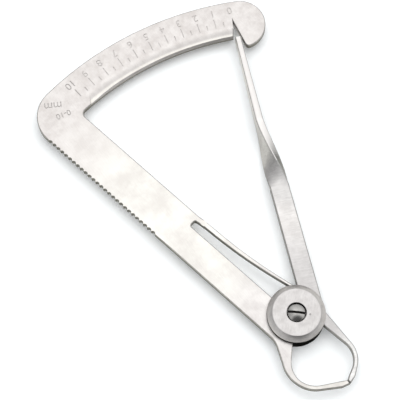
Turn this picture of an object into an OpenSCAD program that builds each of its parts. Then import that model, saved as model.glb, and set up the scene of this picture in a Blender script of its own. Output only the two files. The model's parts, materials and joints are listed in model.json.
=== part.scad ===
// Spring caliper for wax with a ten millimetre scale.
// The pivot axis is Z through the origin, the back disc rests on Z = 0,
// and the handle arm runs along +Y to the scale sector.

/* [Sheet] */
// Thickness of the sheet that frame, lever and leaf are cut from
plate_t = 1.7; // [1.4:0.1:2.2]

/* [Sector] */
// Radius of the sector's inner edge about the pivot
sector_r = 66; // [60:0.5:72]
// Width of the sector from inner to outer edge
sector_w = 8.9; // [8:0.1:12]
// Radius of the outer corner between sector and arm
corner_r = 7.5; // [4:0.5:8]
// Radius of the inner corner between sector and arm
inner_corner_r = 1.2; // [0.5:0.1:3]
// Width of the ground margin along the inner edge
margin_w = 2.4; // [1:0.1:2.8]
// Depth of the ground margin at the inner edge
margin_drop = 0.35; // [0.1:0.05:0.8]
// Angle from the last mark to the margin's end at the inner edge
margin_past = 0.3; // [0:0.1:0.5]
// Angle that the margin's end slants back at its upper line
margin_slant = 2.2; // [1:0.1:3]

/* [Scale marks] */
// Longest reading, in millimetres between the tips
scale_max = 10; // [6:1:10]
// Distance from the inner edge to the marks
mark_in = 3; // [2.8:0.1:4]
// Length of a whole millimetre mark
mark_len = 2.2; // [1.5:0.1:3]
// Length of a half millimetre mark
half_mark_len = 1.1; // [0.6:0.1:1.5]
// Width of a mark
mark_w = 0.2; // [0.1:0.02:0.3]
// Depth of a mark
mark_depth = 0.12; // [0.05:0.01:0.25]

/* [Stop lobe] */
// Radius of the round lobe past the zero mark
lobe_r = 5.85; // [5.2:0.05:6.5]
// Angle from the zero mark to the middle of the lobe
lobe_lag = 1.45; // [1.2:0.05:3]
// Radius of the lobe's lower corner beside the pointer
lobe_corner_r = 1; // [0.4:0.1:1.5]
// Depth of the zero notch from the inner edge
notch_depth = 4; // [3:0.1:5]
// Angle from the zero mark to the notch's apex
notch_lean = 0.25; // [0:0.05:0.5]
// Angle from the zero mark to the notch's corner on the inner edge
notch_flare = 0.3; // [0.1:0.05:0.6]

/* [Handle arm] */
// Distance from the pivot's line to the arm's serrated edge
arm_out = 7.25; // [6.8:0.05:9]
// Distance from the pivot's line to the arm's inner edge
arm_in = 2.25; // [1.9:0.05:2.3]
// Length that the arm runs past the pivot, under the discs
arm_tail = 1; // [0.6:0.1:2]
// Distance between neighbouring serrations
serration_pitch = 1.2; // [1:0.05:2]
// Radius of one serration
serration_r = 0.5; // [0.3:0.05:0.6]
// Depth of one serration
serration_depth = 0.35; // [0.15:0.05:0.4]
// Length of the serrated stretch
serration_run = 31.2; // [15:0.6:36]

/* [Spring leaf] */
// Distance from the pivot to the closed end of the slot
slot_top = 30.2; // [24:0.2:34]
// Distance from the pivot's line to the slot's edge on the arm
slot_left = 0.6; // [0.2:0.1:1.2]
// Radius of the corners at the slot's closed end
slot_r = 0.5; // [0.2:0.1:0.7]
// Width of the leaf at its root
leaf_root_w = 1.25; // [0.9:0.05:1.3]
// Width of the leaf at its tip
leaf_tip_w = 0.6; // [0.4:0.05:0.8]
// Length of the root that stays on the frame
leaf_stub = 2; // [1.5:0.1:2.5]
// Place along the lever where the leaf's tip bears
leaf_contact = 5.8; // [5.6:0.1:6.6]

/* [Pointer lever] */
// Direction of the lever's straight arm
lever_dir = 56.45; // [55:0.25:58]
// Distance from the pivot to the middle of the arm
lever_offset = 4.1; // [4.05:0.05:4.4]
// Width of the flat arm at the pivot
lever_w = 4.45; // [4.2:0.05:4.5]
// Width of the arm where it twists
twist_w = 4.3; // [3.8:0.1:4.3]
// Distance from the pivot to the start of the twist
twist_start = 29; // [26:0.5:34]
// Length of the quarter twist
twist_len = 16; // [12:0.5:20]
// How fast the twist starts, where 1 is an even twist
twist_ease = 1.6; // [1:0.05:2]
// Distance that the arm strays toward the frame over the twist
twist_stray = 0.44; // [0:0.02:0.6]
// Thickness of the pointer at its tip
pointer_tip_t = 1.2; // [0.8:0.1:1.4]
// Height of the pointer at its tip
pointer_tip_h = 3; // [2:0.1:4]

/* [Jaws] */
// Distance from the pivot to the tips
jaw_reach = 18; // [16:0.5:20]
// Direction of the closed tips from the pivot
jaw_dir = -100.4; // [-106:0.2:-96]
// Width of both jaws where they start to narrow to the tips
beak_w = 1.3; // [0.9:0.05:1.6]
// Length over which both jaws narrow to the tips
beak_taper = 1.4; // [1:0.1:2]
// Width of both jaws at the tips
jaw_tip_w = 0.75; // [0.5:0.05:0.85]
// Radius of the bend in the moving jaw
moving_bend_r = 5.3; // [4:0.1:5.6]
// Direction of the moving jaw from the lever to its bend
moving_heading = -93.4; // [-95:0.2:-91]
// Direction of the moving jaw from its bend to the tip
moving_beak_heading = -156.5; // [-160:0.5:-152]
// Distance from the lever's edge to the moving jaw's edge
moving_setback = 0.35; // [0:0.05:0.6]
// Width of the moving jaw at the lever
moving_root_w = 2.75; // [2.2:0.05:3.2]
// Width of the moving jaw where its bend starts
moving_neck_w = 1.1; // [0.9:0.05:1.6]
// Width of the moving jaw at its bend
moving_bend_w = 1; // [0.8:0.05:1.4]
// Direction of the fixed jaw from the frame to its bend
fixed_heading = -131.4; // [-133:0.2:-129]
// Radius of the bend in the fixed jaw
fixed_bend_r = 6; // [5:0.1:6.5]
// Direction of the fixed jaw from its bend to the tip
fixed_beak_heading = -38; // [-41:0.5:-35]
// Distance from the pivot's line to the middle of the fixed jaw's root
fixed_root_x = 4.26; // [4:0.02:4.5]
// Width of the fixed jaw at the frame
fixed_root_w = 4.8; // [4:0.1:5.4]
// Width of the fixed jaw where its bend starts
fixed_neck_w = 1.9; // [1.2:0.05:2.4]
// Width of the fixed jaw at its bend
fixed_bend_w = 1; // [0.8:0.05:1.4]
// Radius of the corner between the arm's outer edge and the fixed jaw
fixed_corner_r = 5; // [3:0.5:7]

/* [Pivot] */
// Radius of both discs
disc_r = 6.3; // [6:0.1:7.5]
// Thickness of the front disc
front_t = 2.3; // [2:0.1:3]
// Chamfer round the front disc
front_chamfer = 1.14; // [0.5:0.02:1.6]
// Thickness of the back disc
back_t = 2; // [1.8:0.1:3]
// Chamfer round the back disc
back_chamfer = 0.5; // [0.2:0.1:1]
// Radius of the lapped hubs of frame and lever
hub_r = 3.5; // [3.2:0.05:3.6]
// Outer radius of the pivot bush
bush_r = 2.2; // [1.9:0.05:2.5]
// Radius of the screw's shank
screw_r = 1.25; // [1:0.05:1.5]
// Depth of the thread in the back disc
thread_depth = 1.5; // [1:0.1:1.6]
// Radius of the screw's head
head_r = 2; // [1.8:0.05:2.6]
// Height of the head's straight side
head_h = 0.65; // [0.5:0.05:0.9]
// Height of the head's dome
head_dome = 0.7; // [0.2:0.05:0.8]
// Thickness of the front disc under the head
seat_t = 1.2; // [0.8:0.1:1.4]
// Width of the screwdriver slot
driver_w = 0.55; // [0.4:0.05:0.9]
// Depth of the screwdriver slot
driver_depth = 0.8; // [0.4:0.05:0.9]
// Direction of the screwdriver slot
driver_dir = -51; // [-90:1:90]
// Radius of the stake mark in the front disc
stake_r = 0.22; // [0.1:0.02:0.3]
// Depth of the stake mark
stake_depth = 0.2; // [0.1:0.05:0.4]
// Distance from the head's recess to the middle of the stake mark
stake_gap = 0.75; // [0.4:0.05:1]
// Direction of the stake mark from the pivot
stake_dir = -57; // [-90:1:90]

/* [Clearances] */
// Play along the pivot between lever, frame and front disc
axial_play = 0.05; // [0.02:0.01:0.1]
// Radial running clearance of the lever on the bush
run_fit = 0.03; // [0.01:0.01:0.08]
// Radial clearance round each lapped hub
hub_gap = 0.15; // [0.1:0.05:0.3]
// Clearance of the screw in bush and front disc
screw_gap = 0.05; // [0.02:0.01:0.15]
// Clearance round the screw's head
head_gap = 0.15; // [0.1:0.05:0.3]
// Gap between the closed tips
tip_gap = 0.08; // [0.04:0.01:0.2]
// Gap between the pointer's tip and the sector
pointer_gap = 0.25; // [0.15:0.05:0.5]
// Gap between the pointer and the stop lobe
stop_gap = 0.3; // [0.1:0.05:0.4]
// Gap between the leaf's tip and the lever
leaf_gap = 0.2; // [0.15:0.05:0.3]
// Gap round the leaf's root where it flexes
flex_gap = 0.1; // [0.05:0.05:0.2]

/* [Hidden] */
$fn = 96;
// Extra length on cutting tools
over = 1;
// Length that the twist shares with the arm and with the pointer
weld = 0.1;

// Heights of the faces that stack on the pivot
plate_z = back_t;
plate_top = plate_z + plate_t;
mid_z = plate_z + plate_t / 2;
lap_t = (plate_t - axial_play) / 2;
front_z = plate_top + axial_play;
head_z = front_z + seat_t;

// Steps in which a jaw bends and the lever twists
bend_steps = 16;
twist_steps = 24;

sector_r_out = sector_r + sector_w;

// Point at a radius and direction about the pivot
function polar(r, a) = [r * cos(a), r * sin(a)];
// Point at a distance right of the pivot and a distance along the lever
function on_lever(n, a) = polar(n, lever_dir - 90) + polar(a, lever_dir);
function unit(v) = v / norm(v);
function left_of(v) = [-v.y, v.x];
// Point where two lines cross, each given by a point and a heading
function crossing(p, a, q, b) =
    p + polar(1, a) * (cross(q - p, polar(1, b)) / cross(polar(1, a), polar(1, b)));
// Angle of a reading, from the chord that the tips open
function reading_angle(m) = zero_dir + 2 * asin(m / (2 * jaw_reach));

// The pointer ends just inside the sector, and its left corner reads the scale
pointer_left = lever_offset - pointer_tip_t / 2;
pointer_right = lever_offset + pointer_tip_t / 2;
pointer_end = sqrt(pow(sector_r - pointer_gap, 2) - pow(pointer_right, 2));
twist_end = twist_start + twist_len;
zero_dir = lever_dir - atan2(pointer_left, pointer_end);

// The notch opens from the zero mark to the stop beside the pointer
notch_apex = polar(sector_r + notch_depth, zero_dir - notch_lean);
notch_corner = polar(sector_r, zero_dir + notch_flare);
stop_point = on_lever(pointer_right + stop_gap, pointer_end);
stop_run = unit(stop_point - notch_apex);
stop_side = left_of(stop_run);
lobe_c = polar(sector_r_out - lobe_r, zero_dir - lobe_lag);
lobe_in = (lobe_c - notch_apex) * stop_side;
lobe_corner_c = lobe_c - (lobe_in - lobe_corner_r) * stop_side
    + sqrt(pow(lobe_r - lobe_corner_r, 2) - pow(lobe_in - lobe_corner_r, 2)) * stop_run;
lobe_corner_out = lobe_c + (lobe_r + over) * unit(lobe_corner_c - lobe_c);

// Centres of the two corner arcs between sector and arm
corner_x = corner_r - arm_out;
corner_c = [corner_x, sqrt(pow(sector_r_out - corner_r, 2) - pow(corner_x, 2))];
inner_x = arm_in + inner_corner_r;
inner_c = [inner_x, sqrt(pow(sector_r - inner_corner_r, 2) - pow(inner_x, 2))];

// The leaf runs from the arm's inner edge to the lever's left edge
leaf_root = [arm_in - leaf_root_w / 2, slot_top];
leaf_tip = on_lever(lever_offset - lever_w / 2 - leaf_gap - leaf_tip_w / 2, leaf_contact);
leaf_run = unit(leaf_tip - leaf_root);
leaf_flex = leaf_root + leaf_stub * leaf_run;
leaf_flex_w = leaf_root_w
    + (leaf_tip_w - leaf_root_w) * leaf_stub / norm(leaf_tip - leaf_root);

// The inner edges of both jaws meet here, and the cut between them runs through the pivot
tip_inner = polar(jaw_reach - jaw_tip_w / 2, jaw_dir);
lever_edge = lever_offset + lever_w / 2;
moving_root = on_lever(lever_edge, 0) - [moving_root_w / 2 + moving_setback, 0];
fixed_root = [-fixed_root_x, 0];

serration_top = corner_c.y - serration_pitch;
serration_count = floor(serration_run / serration_pitch) + 1;

// Places, headings and half widths along a jaw: root, bend as an arc, and beak.
// The width falls from the neck's to the bend's over the first half of the arc.
// The beak narrows on its outer side, so its inner edge runs straight to the tip.
function jaw_places(root, heading, root_w, bend_r, neck_w, bend_w, beak_heading) =
    let (
        swing = beak_heading - heading,
        turn = swing > 180 ? swing - 360 : swing,
        side = sign(turn),
        outward = beak_heading - 90 * side,
        beak_mid = tip_inner + polar(beak_w / 2, outward),
        tip_mid = tip_inner + polar(jaw_tip_w / 2, outward),
        corner = crossing(root, heading, beak_mid, beak_heading),
        start = corner - polar(bend_r * tan(abs(turn) / 2), heading),
        centre = start + polar(bend_r, heading + 90 * side)
    )
    concat(
        [[root, heading, root_w / 2]],
        [for (i = [0 : bend_steps])
            let (
                a = turn * i / bend_steps,
                w = bend_w + (neck_w - bend_w) * max(0, 1 - 2 * i / bend_steps)
            )
            [centre + polar(bend_r, heading - 90 * side + a), heading + a, w / 2]],
        [[beak_mid - polar(beak_taper, beak_heading), beak_heading, beak_w / 2]],
        [[tip_mid + polar(jaw_tip_w, beak_heading), beak_heading, jaw_tip_w / 2]]
    );

module jaw(places) {
    left = [for (p = places) p[0] + polar(p[2], p[1] + 90)];
    right = [for (i = [1 : len(places)]) 2 * places[len(places) - i][0] - left[len(places) - i]];
    polygon(concat(left, right));
}

// Half plane on one side of the line from the pivot through the tips
module tip_cut(side) {
    rotate(jaw_dir)
        translate([jaw_reach / 2, side > 0 ? -tip_gap / 2 : -jaw_reach])
            square([jaw_reach, jaw_reach + tip_gap / 2]);
}

module moving_jaw() {
    difference() {
        jaw(jaw_places(moving_root, moving_heading, moving_root_w, moving_bend_r,
            moving_neck_w, moving_bend_w, moving_beak_heading));
        tip_cut(-1);
    }
}

module fixed_jaw() {
    places = jaw_places(fixed_root, fixed_heading, fixed_root_w, fixed_bend_r,
        fixed_neck_w, fixed_bend_w, fixed_beak_heading);
    difference() {
        jaw(places);
        tip_cut(1);
    }
    // Rounded corner between the arm's outer edge and the jaw's
    root = places[0][0] - polar(places[0][2], places[0][1] + 90);
    neck = places[1][0] - polar(places[1][2], places[1][1] + 90);
    side = -left_of(unit(neck - root));
    x = -arm_out - fixed_corner_r;
    centre = [x, root.y + (fixed_corner_r - (x - root.x) * side.x) / side.y];
    difference() {
        polygon([
            centre,
            [-arm_out, centre.y],
            [-arm_out + over, centre.y],
            centre - (fixed_corner_r + over) * side
        ]);
        translate(centre) circle(fixed_corner_r);
    }
}

// Strip whose width goes from one value to another
module strip(p, q, p_w, q_w) {
    side = left_of(unit(q - p));
    polygon([p + side * p_w / 2, p - side * p_w / 2, q - side * q_w / 2, q + side * q_w / 2]);
}

module sector() {
    intersection() {
        difference() {
            circle(sector_r_out);
            circle(sector_r);
        }
        polygon([
            [0, 0],
            polar(2 * sector_r_out, zero_dir - lobe_lag),
            [0, 2 * sector_r_out]
        ]);
    }
}

module lobe() {
    difference() {
        intersection() {
            translate(lobe_c) circle(lobe_r);
            polygon([
                [0, 0],
                polar(2 * sector_r_out, 0),
                polar(2 * sector_r_out, zero_dir)
            ]);
        }
        difference() {
            polygon([
                lobe_corner_c,
                lobe_corner_c - (lobe_corner_r + over) * stop_side,
                lobe_corner_c - (lobe_corner_r + over) * stop_side + lobe_r * stop_run,
                lobe_corner_out + lobe_r * stop_run,
                lobe_corner_out
            ]);
            translate(lobe_corner_c) circle(lobe_corner_r);
        }
    }
}

module notch() {
    polygon([
        notch_apex,
        notch_apex + 2 * lobe_r * stop_run,
        notch_apex + 2 * lobe_r * unit(notch_corner - notch_apex)
    ]);
}

module arm() {
    difference() {
        intersection() {
            translate([-arm_out, -arm_tail])
                square([arm_out + arm_in, sector_r_out + arm_tail]);
            circle(sector_r_out);
        }
        // Rounded outer corner
        difference() {
            polygon([
                corner_c,
                [-arm_out - over, corner_c.y],
                [-arm_out - over, sector_r_out + over],
                corner_c * (sector_r_out + over) / norm(corner_c)
            ]);
            translate(corner_c) circle(corner_r);
        }
        slot_and_leaf_gap();
        for (i = [0 : serration_count - 1])
            translate([-arm_out - serration_r + serration_depth, serration_top - i * serration_pitch])
                circle(serration_r);
    }
    // Rounded inner corner
    difference() {
        polygon([
            [arm_in - over, inner_c.y],
            inner_c,
            inner_c * (sector_r + over / 2) / norm(inner_c),
            [arm_in - over, inner_c.y + inner_corner_r]
        ]);
        translate(inner_c) circle(inner_corner_r);
    }
}

// Everything right of the slot's edge, below the slot's rounded end
module slot_and_leaf_gap() {
    slot_end = arm_in - leaf_root_w;
    below = arm_tail + over;
    translate([-slot_left, -below])
        square([slot_left + slot_end, slot_top - slot_r + below]);
    translate([slot_r - slot_left, 0])
        square([slot_left + slot_end - 2 * slot_r, slot_top]);
    translate([slot_r - slot_left, slot_top - slot_r]) circle(slot_r);
    translate([slot_end - slot_r, slot_top - slot_r]) circle(slot_r);
    translate([slot_end, -below])
        square([leaf_root_w + over, slot_top + below]);
}

module leaf_stub_shape() {
    difference() {
        strip(leaf_root - leaf_run * over / 2, leaf_flex, leaf_root_w, leaf_flex_w);
        translate(leaf_flex) circle(leaf_flex_w / 2 + flex_gap);
    }
}

module sector_margin() {
    slope = margin_drop / margin_w;
    margin_end = reading_angle(scale_max) + margin_past;
    intersection() {
        translate([0, 0, plate_top])
            rotate_extrude($fn = 360)
                polygon([
                    [sector_r - over, -margin_drop - slope * over],
                    [sector_r + margin_w, 0],
                    [sector_r + margin_w, over],
                    [sector_r - over, over]
                ]);
        // The margin ends on a slant beside the last mark
        linear_extrude(plate_top + 2 * over)
            polygon([
                polar(sector_r - 2 * over, zero_dir),
                polar(sector_r_out, zero_dir),
                polar(2 * sector_r_out, (zero_dir + 90) / 2),
                polar(sector_r + margin_w + over, margin_end - margin_slant),
                polar(sector_r - over, margin_end)
            ]);
    }
}

module scale_marks() {
    for (i = [1 : 2 * scale_max])
        rotate(reading_angle(i / 2))
            translate([sector_r + mark_in, -mark_w / 2, plate_top - mark_depth])
                cube([i % 2 == 0 ? mark_len : half_mark_len, mark_w, mark_depth + over]);
}

module frame_plate() {
    color("gainsboro")
    difference() {
        union() {
            difference() {
                translate([0, 0, plate_z])
                    linear_extrude(plate_t)
                        union() {
                            difference() {
                                union() {
                                    sector();
                                    lobe();
                                }
                                notch();
                            }
                            arm();
                            leaf_stub_shape();
                            fixed_jaw();
                        }
                // Room for the lever's hub over the frame's own
                translate([0, 0, plate_z + lap_t])
                    cylinder(r = hub_r + hub_gap, h = plate_t);
            }
            translate([0, 0, plate_z]) cylinder(r = hub_r, h = lap_t);
        }
        translate([0, 0, plate_z - over]) cylinder(r = bush_r, h = plate_t + 2 * over);
        sector_margin();
        scale_marks();
    }
}

module spring_leaf() {
    color("whitesmoke")
    translate([0, 0, plate_z])
        linear_extrude(plate_t)
            union() {
                strip(leaf_flex, leaf_tip, leaf_flex_w, leaf_tip_w);
                translate(leaf_flex) circle(leaf_flex_w / 2);
                translate(leaf_tip) circle(leaf_tip_w / 2);
            }
}

// Corner of the lever's section at a share of the twist, which starts fast and ends slow
function twist_corner(share, x, y) =
    let (
        turn = 90 * (1 - pow(1 - share, twist_ease)),
        right = x * cos(turn) - y * sin(turn),
        up = x * sin(turn) + y * cos(turn)
    )
    concat(
        on_lever(lever_offset - share * twist_stray + right, twist_start + share * twist_len),
        [mid_z + up]
    );

// Quarter turn from the flat arm to the pointer on its edge
module quarter_twist() {
    corners = [[-1, -1], [1, -1], [1, 1], [-1, 1]];
    points = [
        for (k = [0 : twist_steps])
            for (c = corners)
                twist_corner(k / twist_steps, c.x * twist_w / 2, c.y * plate_t / 2)
    ];
    sides = [
        for (k = [0 : twist_steps - 1])
            for (i = [0 : 3])
                let (p = 4 * k + i, q = 4 * k + (i + 1) % 4)
                each [[p, q, q + 4], [p, q + 4, p + 4]]
    ];
    last = 4 * twist_steps;
    polyhedron(points, concat(sides, [[3, 2, 1, 0], [last, last + 1, last + 2, last + 3]]));
}

module pointer_blade() {
    reach = pointer_end - twist_end + weld;
    root = on_lever(lever_offset - twist_stray, twist_end - weld);
    intersection() {
        linear_extrude(plate_top + twist_w)
            strip(root, on_lever(lever_offset, pointer_end), plate_t, pointer_tip_t);
        translate(concat(root, [mid_z]))
            rotate([90, 0, lever_dir])
                linear_extrude(2 * plate_t, center = true)
                    polygon([
                        [0, -twist_w / 2],
                        [reach, -pointer_tip_h / 2],
                        [reach, pointer_tip_h / 2],
                        [0, twist_w / 2]
                    ]);
    }
}

module pointer_lever() {
    color("silver")
    difference() {
        union() {
            difference() {
                translate([0, 0, plate_z])
                    linear_extrude(plate_t)
                        union() {
                            strip(on_lever(lever_offset, -arm_tail),
                                on_lever(lever_offset, twist_start + weld), lever_w, twist_w);
                            moving_jaw();
                        }
                // Room for the frame's hub under the lever's own
                translate([0, 0, plate_z - over])
                    cylinder(r = hub_r + hub_gap, h = plate_t - lap_t + over);
            }
            translate([0, 0, plate_top - lap_t]) cylinder(r = hub_r, h = lap_t);
            quarter_twist();
            pointer_blade();
        }
        translate([0, 0, plate_z - over])
            cylinder(r = bush_r + run_fit, h = plate_t + 2 * over);
    }
}

module front_disc() {
    recess_r = head_r + head_gap;
    color("gainsboro")
    difference() {
        translate([0, 0, front_z])
            rotate_extrude()
                polygon([
                    [screw_r + screw_gap, 0],
                    [disc_r, 0],
                    [disc_r, front_t - front_chamfer],
                    [disc_r - front_chamfer, front_t],
                    [recess_r, front_t],
                    [recess_r, seat_t],
                    [screw_r + screw_gap, seat_t]
                ]);
        // Small stake mark beside the head
        rotate(stake_dir)
            translate([recess_r + stake_gap, 0, front_z + front_t - stake_depth])
                cylinder(r = stake_r, h = stake_depth + over);
    }
}

module back_disc() {
    color("gainsboro")
    difference() {
        rotate_extrude()
            polygon([
                [0, 0],
                [disc_r - back_chamfer, 0],
                [disc_r, back_chamfer],
                [disc_r, back_t],
                [0, back_t]
            ]);
        translate([0, 0, back_t - thread_depth]) cylinder(r = screw_r, h = back_t);
    }
}

module pivot_bush() {
    color("darkgray")
    translate([0, 0, plate_z])
        difference() {
            cylinder(r = bush_r, h = plate_t + axial_play);
            translate([0, 0, -over])
                cylinder(r = screw_r + screw_gap, h = plate_t + 2 * over);
        }
}

module pivot_screw() {
    dome_r = (pow(head_r, 2) + pow(head_dome, 2)) / (2 * head_dome);
    head_top = head_z + head_h + head_dome;
    shank_end = back_t - thread_depth + screw_gap;
    color("dimgray")
    difference() {
        union() {
            translate([0, 0, shank_end]) cylinder(r = screw_r, h = head_z - shank_end);
            intersection() {
                translate([0, 0, head_z]) cylinder(r = head_r, h = head_h + head_dome);
                translate([0, 0, head_top - dome_r]) sphere(dome_r);
            }
        }
        rotate(driver_dir)
            translate([-2 * head_r, -driver_w / 2, head_top - driver_depth])
                cube([4 * head_r, driver_w, driver_depth + over]);
    }
}

frame_plate();
spring_leaf();
pointer_lever();
front_disc();
back_disc();
pivot_bush();
pivot_screw();
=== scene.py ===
import bmesh
import bpy
import json
import math
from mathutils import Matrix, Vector


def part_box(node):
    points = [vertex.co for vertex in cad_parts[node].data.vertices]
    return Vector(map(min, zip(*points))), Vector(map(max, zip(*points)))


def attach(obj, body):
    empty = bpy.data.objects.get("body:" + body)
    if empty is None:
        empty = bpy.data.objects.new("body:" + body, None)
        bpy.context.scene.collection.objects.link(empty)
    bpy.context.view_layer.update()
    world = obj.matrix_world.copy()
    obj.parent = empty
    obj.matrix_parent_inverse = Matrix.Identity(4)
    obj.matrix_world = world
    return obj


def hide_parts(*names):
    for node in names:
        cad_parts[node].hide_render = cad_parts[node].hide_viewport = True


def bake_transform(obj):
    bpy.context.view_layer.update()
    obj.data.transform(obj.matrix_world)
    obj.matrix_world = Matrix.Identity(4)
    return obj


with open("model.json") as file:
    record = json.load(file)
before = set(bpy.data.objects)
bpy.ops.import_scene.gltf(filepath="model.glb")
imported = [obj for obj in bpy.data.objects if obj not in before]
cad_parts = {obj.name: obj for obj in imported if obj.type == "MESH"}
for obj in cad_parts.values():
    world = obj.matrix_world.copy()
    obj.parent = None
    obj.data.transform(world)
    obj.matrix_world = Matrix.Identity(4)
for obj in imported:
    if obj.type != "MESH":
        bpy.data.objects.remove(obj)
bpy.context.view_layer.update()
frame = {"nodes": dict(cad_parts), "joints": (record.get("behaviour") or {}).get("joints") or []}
mm = 0.001
print("frame loaded:", ", ".join(sorted(frame["nodes"])))


# small helpers

limits = {  # what the helpers go by: lengths, angles in degrees, and the upward part of a normal
    "merge": 0.0005 * mm,
    "coplanar": 0.5,
    "shortEdge": 0.006 * mm,
    "sliver": 0.001 * mm,
    "same": 0.002 * mm,
    "ring": 0.01 * mm,
    "foldBack": 170,
    "foldShare": 100,  # a face is this much larger than the sliver on it
    "steep": 0.3,
    "upright": 0.2,
    "flat": 0.97,
}


def pick(piece):
    if bpy.context.object and bpy.context.object.mode != "OBJECT":
        bpy.ops.object.mode_set(mode="OBJECT")
    bpy.ops.object.select_all(action="DESELECT")
    piece.select_set(True)
    bpy.context.view_layer.objects.active = piece


def editMesh(piece):  # edit mode with nothing selected
    pick(piece)
    bpy.ops.object.mode_set(mode="EDIT")
    bpy.ops.mesh.select_mode(type="EDGE")
    bpy.ops.mesh.select_all(action="DESELECT")
    return bmesh.from_edit_mesh(piece.data)


def endEdit():
    bpy.ops.object.mode_set(mode="OBJECT")


def selectEdges(piece, wanted):  # edit mode with the wanted edges selected
    mesh = editMesh(piece)
    for edge in mesh.edges:
        edge.select_set(wanted(edge))
    bmesh.update_edit_mesh(piece.data)


def mergeNear(reach):  # in edit mode, corners nearer than this become one
    bpy.ops.mesh.select_all(action="SELECT")
    bpy.ops.mesh.remove_doubles(threshold=reach)


def copyNode(node, name):  # merged copy of a CAD node, with flat faces made whole
    piece = bpy.data.objects.new(name, frame["nodes"][node].data.copy())
    bpy.context.scene.collection.objects.link(piece)
    piece.data.materials.clear()
    pick(piece)
    bpy.ops.mesh.customdata_custom_splitnormals_clear()
    bpy.ops.object.mode_set(mode="EDIT")
    mergeNear(limits["merge"])
    bpy.ops.mesh.dissolve_limited(angle_limit=math.radians(limits["coplanar"]))
    endEdit()
    selectEdges(piece, lambda edge: edge.calc_length() < limits["shortEdge"])
    bpy.ops.mesh.merge(type="COLLAPSE")
    endEdit()
    return piece


def cutAway(piece, cutter):
    pick(piece)
    cut = piece.modifiers.new("cut", "BOOLEAN")
    cut.operation = "DIFFERENCE"
    cut.solver = "EXACT"
    cut.material_mode = "TRANSFER"
    cut.object = cutter
    bpy.ops.object.modifier_apply(modifier=cut.name)
    bpy.data.objects.remove(cutter)


def foldedBack(edge):  # between a face and a sliver that a bevel has turned back on it
    small, large = sorted(face.calc_area() for face in edge.link_faces)
    turnedBack = edge.calc_face_angle() > math.radians(limits["foldBack"])
    return turnedBack and large > limits["foldShare"] * small


def dropSlivers(piece):  # faces and edges too small to see
    editMesh(piece)
    mergeNear(limits["sliver"])
    bpy.ops.mesh.dissolve_degenerate(threshold=limits["sliver"])
    endEdit()
    selectEdges(piece, foldedBack)
    bpy.ops.mesh.dissolve_edges(use_verts=False)
    endEdit()


def shadeByAngle(piece, degrees):
    pick(piece)
    bpy.ops.object.shade_smooth_by_angle(angle=math.radians(degrees))


def flatFaces(piece, least):  # level faces keep their own flat shading
    for face in piece.data.polygons:
        if abs(face.normal.z) > least:
            face.use_smooth = False


def markFaces(piece, name, wanted):  # a mark on faces that the finishes read
    marks = piece.data.attributes.new(name, "FLOAT", "FACE")
    marks.data.foreach_set("value", [float(wanted(face)) for face in piece.data.polygons])


def markSelected(piece, name):  # the same for the faces that a bevel has just made
    mesh = bmesh.from_edit_mesh(piece.data)
    marks = mesh.faces.layers.float.get(name) or mesh.faces.layers.float.new(name)
    for face in mesh.faces:
        if face.select:
            face[marks] = 1
    bmesh.update_edit_mesh(piece.data)


def breakEdges(piece, wanted, width, steps, mark="edgeMark"):
    selectEdges(piece, lambda edge: len(edge.link_faces) == 2 and wanted(edge))
    bpy.ops.mesh.bevel(
        offset=width, segments=steps, affect="EDGES", clamp_overlap=False, loop_slide=False
    )
    if mark:
        markSelected(piece, mark)
    endEdit()


def steep(face):
    return abs(face.normal.z) < limits["steep"]


def stand(piece, node, body, wall=steep):  # the piece takes the node's place on its body
    # faces picked by wall get the material's wall tone, a painted shade (on the sheet partly its own darker
    # finish)
    markFaces(piece, "wallMark", wall)
    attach(piece, body)
    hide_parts(node)


# camera

view = {
    "place": Vector((-64.2, -30.9, 296.5)) * mm,
    "aim": Vector((5.17, 32.54, 3.7)) * mm,
    "lens": 126.1,
    "clip": 10 * mm,
}
bpy.ops.object.camera_add(location=view["place"])
camera = bpy.context.object
camera.name = "camera"
camera.rotation_euler = (view["aim"] - view["place"]).to_track_quat("-Z", "Y").to_euler()
camera.data.lens = view["lens"]
camera.data.clip_start = view["clip"]
bpy.context.scene.camera = camera
bpy.context.scene.view_settings.view_transform = "Standard"
print("camera at", tuple(round(v, 4) for v in view["place"]))


# floor and light

studio = {
    "floorSize": 3.0,
    "floorZ": -0.02 * mm,
    "floorRough": 0.9,
    "floorShine": 0.1,
    "floorTone": (0.905, 0.93, 0.945, 1),
    "floorGlow": 0.1,
    "floorMirrored": (0.74, 0.74, 0.72, 1),  # how the floor shows in the steel
    "skyAxis": (0.0, 0.0, 1.0),  # brightest part of the sky
    "skyFrom": 0.25,
    "skyTo": 0.97,
    "skyHigh": 1.26,
    "skyLow": 0.58,
    "skyTint": (0.985, 0.99, 1.0, 1),
    "shadeAxis": (-0.40, -0.537, 0.743),  # darker patch on the camera's side
    "shadeFrom": 0.70,
    "shadeTo": 0.92,
    "shadeDepth": 0.1,
    "sideAxis": (-0.42, 0.62, 0.66),  # duller patch beside the pointer
    "sideFrom": 0.76,
    "sideTo": 0.95,
    "sideDepth": 0.58,
    "keyPlace": (0.09, 0.09, 0.70),
    "keySize": 0.8,
    "keyPower": 3.7,
    "keyTint": (1.0, 0.985, 0.96),
    "boxPlace": (0.12, 0.17, 0.60),
    "boxSize": 0.2,
    "boxPower": 0.05,
    "boxTint": (1.0, 0.97, 0.91),
    "aim": (0.015, 0.033, 0.0),
}


def newMaterial(name):
    material = bpy.data.materials.new(name)
    material.use_nodes = True
    return material, material.node_tree.nodes, material.node_tree.links


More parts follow.
